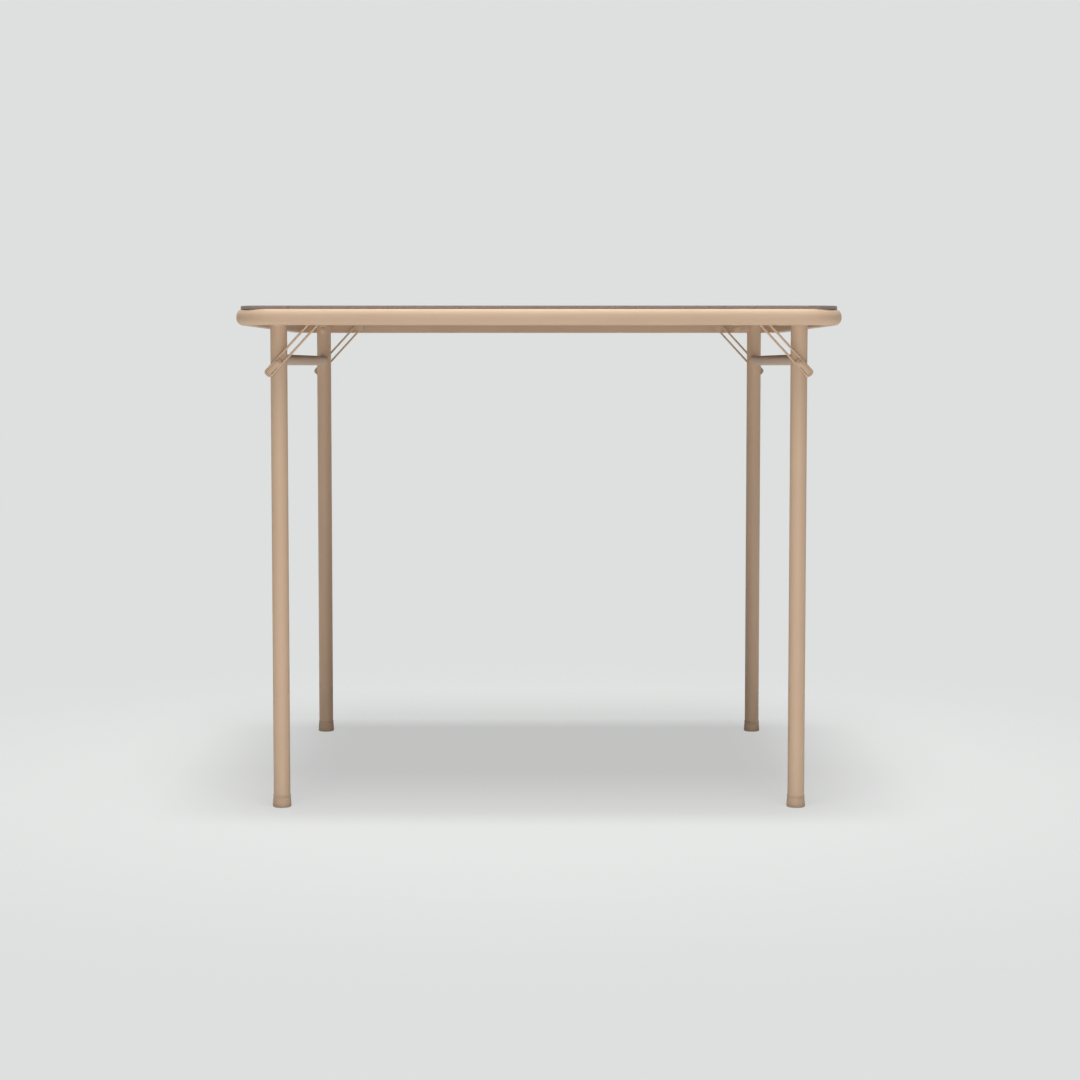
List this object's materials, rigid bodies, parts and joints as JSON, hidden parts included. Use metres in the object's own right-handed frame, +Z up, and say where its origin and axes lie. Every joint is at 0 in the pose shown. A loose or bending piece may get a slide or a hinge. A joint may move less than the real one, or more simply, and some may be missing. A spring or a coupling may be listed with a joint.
{
  "type": "folding card table",
  "caption": "Square folding card table: leatherette top on a rounded steel rim, tube legs joined in pairs that fold inwards under the top on wire braces.",
  "frame": {"origin": "on the floor under the middle of the top", "axes": "+Z up, +X to the right seen from the front, +Y to the back; leg pairs stand left and right"},
  "size_m": [0.864, 0.864, 0.722],
  "materials": {
    "tan_enamel": "satin",
    "leatherette": "fine grained",
    "fibreboard": "smooth",
    "felt": "matte",
    "zinc_steel": "plated",
    "tan_rubber": "matte",
    "nylon": "matte"
  },
  "bodies": {
    "tabletop": {"top_cover": "leatherette", "top_pad": "felt", "top_board": "fibreboard", "rim_frame": "tan_enamel", "bracket_rivets": "zinc_steel", "rail_rivets": "zinc_steel", "board_screws": "zinc_steel", "hinge_plate_front_left": "tan_enamel", "leg_bracket_front_left": "tan_enamel", "slide_rail_front_left": "zinc_steel", "hinge_pin_front_left": "tan_enamel", "hinge_plate_front_right": "tan_enamel", "leg_bracket_front_right": "tan_enamel", "slide_rail_front_right": "zinc_steel", "hinge_pin_front_right": "tan_enamel", "hinge_plate_back_left": "tan_enamel", "leg_bracket_back_left": "tan_enamel", "slide_rail_back_left": "zinc_steel", "hinge_pin_back_left": "tan_enamel", "hinge_plate_back_right": "tan_enamel", "leg_bracket_back_right": "tan_enamel", "slide_rail_back_right": "zinc_steel", "hinge_pin_back_right": "tan_enamel"},
    "left_legs": {"leg_front_left": "tan_enamel", "leg_plug_front_left": "nylon", "foot_front_left": "tan_rubber", "brace_stud_front_left": "tan_enamel", "leg_back_left": "tan_enamel", "leg_plug_back_left": "nylon", "foot_back_left": "tan_rubber", "brace_stud_back_left": "tan_enamel", "crossbar_left": "tan_enamel"},
    "right_legs": {"leg_front_right": "tan_enamel", "leg_plug_front_right": "nylon", "foot_front_right": "tan_rubber", "brace_stud_front_right": "tan_enamel", "hinge_lug_front_right": "tan_enamel", "leg_back_right": "tan_enamel", "leg_plug_back_right": "nylon", "foot_back_right": "tan_rubber", "brace_stud_back_right": "tan_enamel", "hinge_lug_back_right": "tan_enamel", "crossbar_right": "tan_enamel"},
    "brace_front_left": {"brace_wire_front_left": "tan_enamel", "brace_clip_front_left": "tan_enamel", "brace_shoe_front_left": "nylon"},
    "brace_front_right": {"brace_wire_front_right": "tan_enamel", "brace_clip_front_right": "tan_enamel", "brace_shoe_front_right": "nylon"},
    "brace_back_left": {"brace_wire_back_left": "tan_enamel", "brace_clip_back_left": "tan_enamel", "brace_shoe_back_left": "nylon"},
    "brace_back_right": {"brace_wire_back_right": "tan_enamel", "brace_clip_back_right": "tan_enamel", "brace_shoe_back_right": "nylon"}
  },
  "joints": [
    {"name": "left_legs_fold", "type": "hinge", "parent": "tabletop", "child": "left_legs", "pos_m": [-0.372, 0, 0.69851], "axis": [0, -1, 0], "range_deg": [0, 90]},
    {"name": "right_legs_fold", "type": "hinge", "parent": "tabletop", "child": "right_legs", "pos_m": [0.3433, 0, 0.70051], "axis": [0, 1, 0], "range_deg": [0, 90]},
    {"name": "brace_front_left_turn", "type": "hinge", "parent": "left_legs", "child": "brace_front_left", "pos_m": [-0.372, -0.3898, 0.6405], "axis": [0, -1, 0], "range_deg": [-132.93, 0]},
    {"name": "brace_front_right_turn", "type": "hinge", "parent": "right_legs", "child": "brace_front_right", "pos_m": [0.372, -0.3898, 0.6405], "axis": [0, 1, 0], "range_deg": [-115.01, 0]},
    {"name": "brace_back_left_turn", "type": "hinge", "parent": "left_legs", "child": "brace_back_left", "pos_m": [-0.372, 0.3898, 0.6405], "axis": [0, -1, 0], "range_deg": [-132.93, 0]},
    {"name": "brace_back_right_turn", "type": "hinge", "parent": "right_legs", "child": "brace_back_right", "pos_m": [0.372, 0.3898, 0.6405], "axis": [0, 1, 0], "range_deg": [-115.01, 0]}
  ],
  "couplings": [
    {"joint": "brace_front_left_turn", "follows": "left_legs_fold", "ratio": -1.4768},
    {"joint": "brace_front_right_turn", "follows": "right_legs_fold", "ratio": -1.2778},
    {"joint": "brace_back_left_turn", "follows": "left_legs_fold", "ratio": -1.4768},
    {"joint": "brace_back_right_turn", "follows": "right_legs_fold", "ratio": -1.2778}
  ]
}
